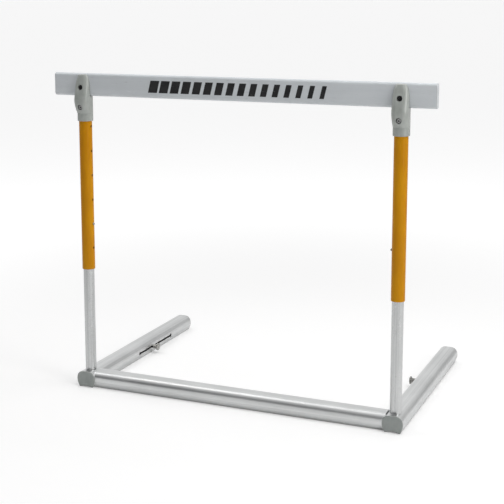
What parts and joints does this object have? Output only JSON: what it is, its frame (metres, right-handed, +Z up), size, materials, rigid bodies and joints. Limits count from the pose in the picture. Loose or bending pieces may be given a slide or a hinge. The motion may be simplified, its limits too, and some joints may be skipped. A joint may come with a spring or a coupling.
{
  "type": "competition hurdle",
  "caption": "Free-standing hurdle: a plastic bar board on two telescopic uprights that lock at set heights, on a U-shaped aluminium base with sliding counterweights.",
  "frame": {"origin": "middle of the box's underside: on the ground, halfway along the feet and midway between them", "axes": "+X along the bar to the right, +Y along the feet to the back, +Z up"},
  "size_m": [1.2, 0.7, 0.991],
  "materials": {
    "aluminium": "drawn mill finish with fine lengthwise lines",
    "tube_aluminium": "drawn mill finish",
    "connector_aluminium": "sawn and machined",
    "yellow_paint": "golden yellow powder coat, slight orange peel",
    "head_grey": "moulded grey plastic, satin",
    "bar_board": "extruded grey-white plastic, satin",
    "bar_end": "moulded plastic, satin",
    "print_black": "black printed film",
    "cap_grey": "moulded dark grey plastic, fine texture",
    "zinc_steel": "zinc plated",
    "screw_steel": "stainless, satin",
    "screw_black": "black oxide",
    "button_steel": "plated, satin",
    "spring_steel": "spring temper, bright",
    "nylon": "black nylon",
    "weight_steel": "dark mill scale",
    "pin_steel": "turned",
    "knob_steel": "turned and nickel plated"
  },
  "bodies": {
    "base": {"base_rail": "aluminium", "left_foot": "aluminium", "left_front_cap": "cap_grey", "left_rear_cap": "cap_grey", "left_rail_connector": "connector_aluminium", "left_rail_screws": "zinc_steel", "left_lower_tube": "tube_aluminium", "left_tube_anchor": "connector_aluminium", "left_tube_bolt": "zinc_steel", "left_glide_plug": "nylon", "left_lock_spring": "spring_steel", "right_foot": "aluminium", "right_front_cap": "cap_grey", "right_rear_cap": "cap_grey", "right_rail_connector": "connector_aluminium", "right_rail_screws": "zinc_steel", "right_lower_tube": "tube_aluminium", "right_tube_anchor": "connector_aluminium", "right_tube_bolt": "zinc_steel", "right_glide_plug": "nylon", "right_lock_spring": "spring_steel"},
    "upper": {"crossbar": "bar_board", "bar_graphic": "print_black", "left_upper_tube": "yellow_paint", "left_guide_bush": "nylon", "left_head": "head_grey", "left_tube_screw": "screw_steel", "left_tube_nut": "screw_steel", "left_bar_screw": "screw_black", "left_bar_nut": "screw_steel", "left_bar_plug": "bar_end", "right_upper_tube": "yellow_paint", "right_guide_bush": "nylon", "right_head": "head_grey", "right_tube_screw": "screw_steel", "right_tube_nut": "screw_steel", "right_bar_screw": "screw_black", "right_bar_nut": "screw_steel", "right_bar_plug": "bar_end"},
    "left_button": {"left_lock_button": "button_steel"},
    "left_counterweight": {"left_weight": "weight_steel", "left_pin_retainer": "zinc_steel", "left_pin_spring": "spring_steel"},
    "left_puller": {"left_lock_pin": "pin_steel", "left_pull_knob": "knob_steel"},
    "right_button": {"right_lock_button": "button_steel"},
    "right_counterweight": {"right_weight": "weight_steel", "right_pin_retainer": "zinc_steel", "right_pin_spring": "spring_steel"},
    "right_puller": {"right_lock_pin": "pin_steel", "right_pull_knob": "knob_steel"}
  },
  "joints": [
    {"name": "height_adjust", "type": "slide", "parent": "base", "child": "upper", "axis": [0, 0, 1], "range_m": [-0.3048, 0.0762], "deforming": ["left_lock_button", "right_lock_button"]},
    {"name": "left_button_press", "type": "slide", "parent": "base", "child": "left_button", "axis": [-1, 0, 0], "range_m": [0, 0.008], "stiffness_N_per_m": 1500, "springref_m": -0.003, "deforming": ["left_lock_spring"]},
    {"name": "left_weight_slide", "type": "slide", "parent": "base", "child": "left_counterweight", "axis": [0, 1, 0], "range_m": [-0.092, 0.138], "deforming": ["left_lock_pin"]},
    {"name": "left_knob_pull", "type": "slide", "parent": "left_counterweight", "child": "left_puller", "axis": [1, 0, 0], "range_m": [0, 0.009], "stiffness_N_per_m": 1200, "springref_m": -0.005, "deforming": ["left_pin_spring"]},
    {"name": "right_button_press", "type": "slide", "parent": "base", "child": "right_button", "axis": [1, 0, 0], "range_m": [0, 0.008], "stiffness_N_per_m": 1500, "springref_m": -0.003, "deforming": ["right_lock_spring"]},
    {"name": "right_weight_slide", "type": "slide", "parent": "base", "child": "right_counterweight", "axis": [0, 1, 0], "range_m": [-0.092, 0.138], "deforming": ["right_lock_pin"]},
    {"name": "right_knob_pull", "type": "slide", "parent": "right_counterweight", "child": "right_puller", "axis": [-1, 0, 0], "range_m": [0, 0.009], "stiffness_N_per_m": 1200, "springref_m": -0.005, "deforming": ["right_pin_spring"]}
  ]
}
